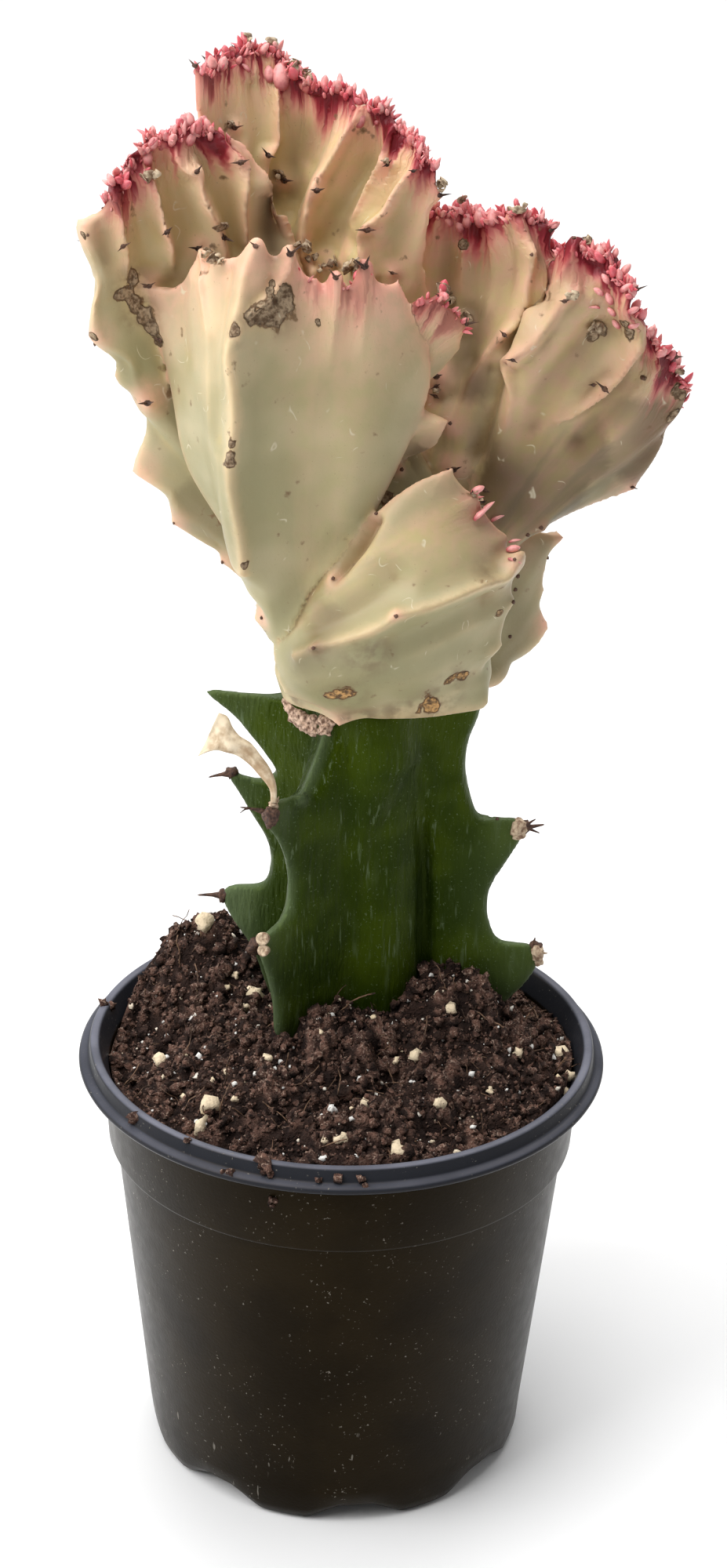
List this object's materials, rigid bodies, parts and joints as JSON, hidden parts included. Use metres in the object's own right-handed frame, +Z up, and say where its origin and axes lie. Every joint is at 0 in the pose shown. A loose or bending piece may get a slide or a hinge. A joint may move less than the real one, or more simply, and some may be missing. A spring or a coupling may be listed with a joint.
{
  "type": "potted mermaid tail cactus",
  "caption": "Grafted crested spurge with a pale, red-edged fan on a green winged stem, in a black nursery pot of dark soil; a free-standing houseplant",
  "frame": {"origin": "on the pot's axis, on the flat underside of the pot's base, at the underside mount", "axes": "+Z up along the plant's height, the longest extent; -Y is the front that the picture shows; +X to the right"},
  "size_m": [0.1224, 0.114, 0.307],
  "materials": {
    "pot_plastic": "black injection-moulded plastic, slightly scuffed",
    "peat": "damp dark brown peat with fibres, loose and matt",
    "perlite": "white to cream expanded mineral grains, matt",
    "stem_skin": "deep green waxy skin with grey bloom streaks",
    "crest_skin": "cream to sage skin, salmon to magenta near the margin, satin",
    "bud": "pink young leaves, satin",
    "spine": "dark brown woody spine shields, matt",
    "cork": "rough brown cork and dried wood",
    "dry_leaf": "papery beige dried leaf"
  },
  "bodies": {
    "root": {"pot": "pot_plastic", "soil": "peat", "rootstock": "stem_skin", "graft_callus": "cork", "crest": "crest_skin", "dried_leaf": "dry_leaf", "crest_spines_01": "spine", "crest_spines_02": "spine", "crest_spines_03": "spine", "crest_spines_04": "spine", "crest_spines_05": "spine", "crest_spines_06": "spine", "crest_spines_07": "spine", "crest_spines_08": "spine", "crest_spines_09": "spine", "crest_spines_10": "spine", "crest_spines_11": "spine", "crest_spines_12": "spine", "crest_spines_13": "spine", "crest_spines_14": "spine", "crest_spines_15": "spine", "crest_spines_16": "spine", "crest_spines_17": "spine", "crest_spines_18": "spine", "crest_spines_19": "spine", "crest_spines_20": "spine", "crest_spines_21": "spine", "crest_spines_22": "spine", "crest_spines_23": "spine", "crest_spines_24": "spine", "crest_spines_25": "spine", "crest_spines_26": "spine", "leaf_bud_01": "bud", "leaf_bud_02": "bud", "leaf_bud_03": "bud", "leaf_bud_04": "bud", "leaf_bud_05": "bud", "leaf_bud_06": "bud", "leaf_bud_07": "bud", "leaf_bud_08": "bud", "leaf_bud_09": "bud", "leaf_bud_10": "bud", "leaf_bud_11": "bud", "leaf_bud_12": "bud", "leaf_remains_1": "dry_leaf", "leaf_remains_2": "dry_leaf", "perlite_1": "perlite", "perlite_2": "perlite", "perlite_3": "perlite", "perlite_4": "perlite", "perlite_5": "perlite", "perlite_6": "perlite", "perlite_7": "perlite", "perlite_8": "perlite", "stem_stub_1": "cork", "stem_stub_2": "cork", "stem_stub_3": "cork", "stem_stub_4": "cork", "stem_stub_5": "cork", "stem_stub_6": "cork"}
  },
  "joints": []
}
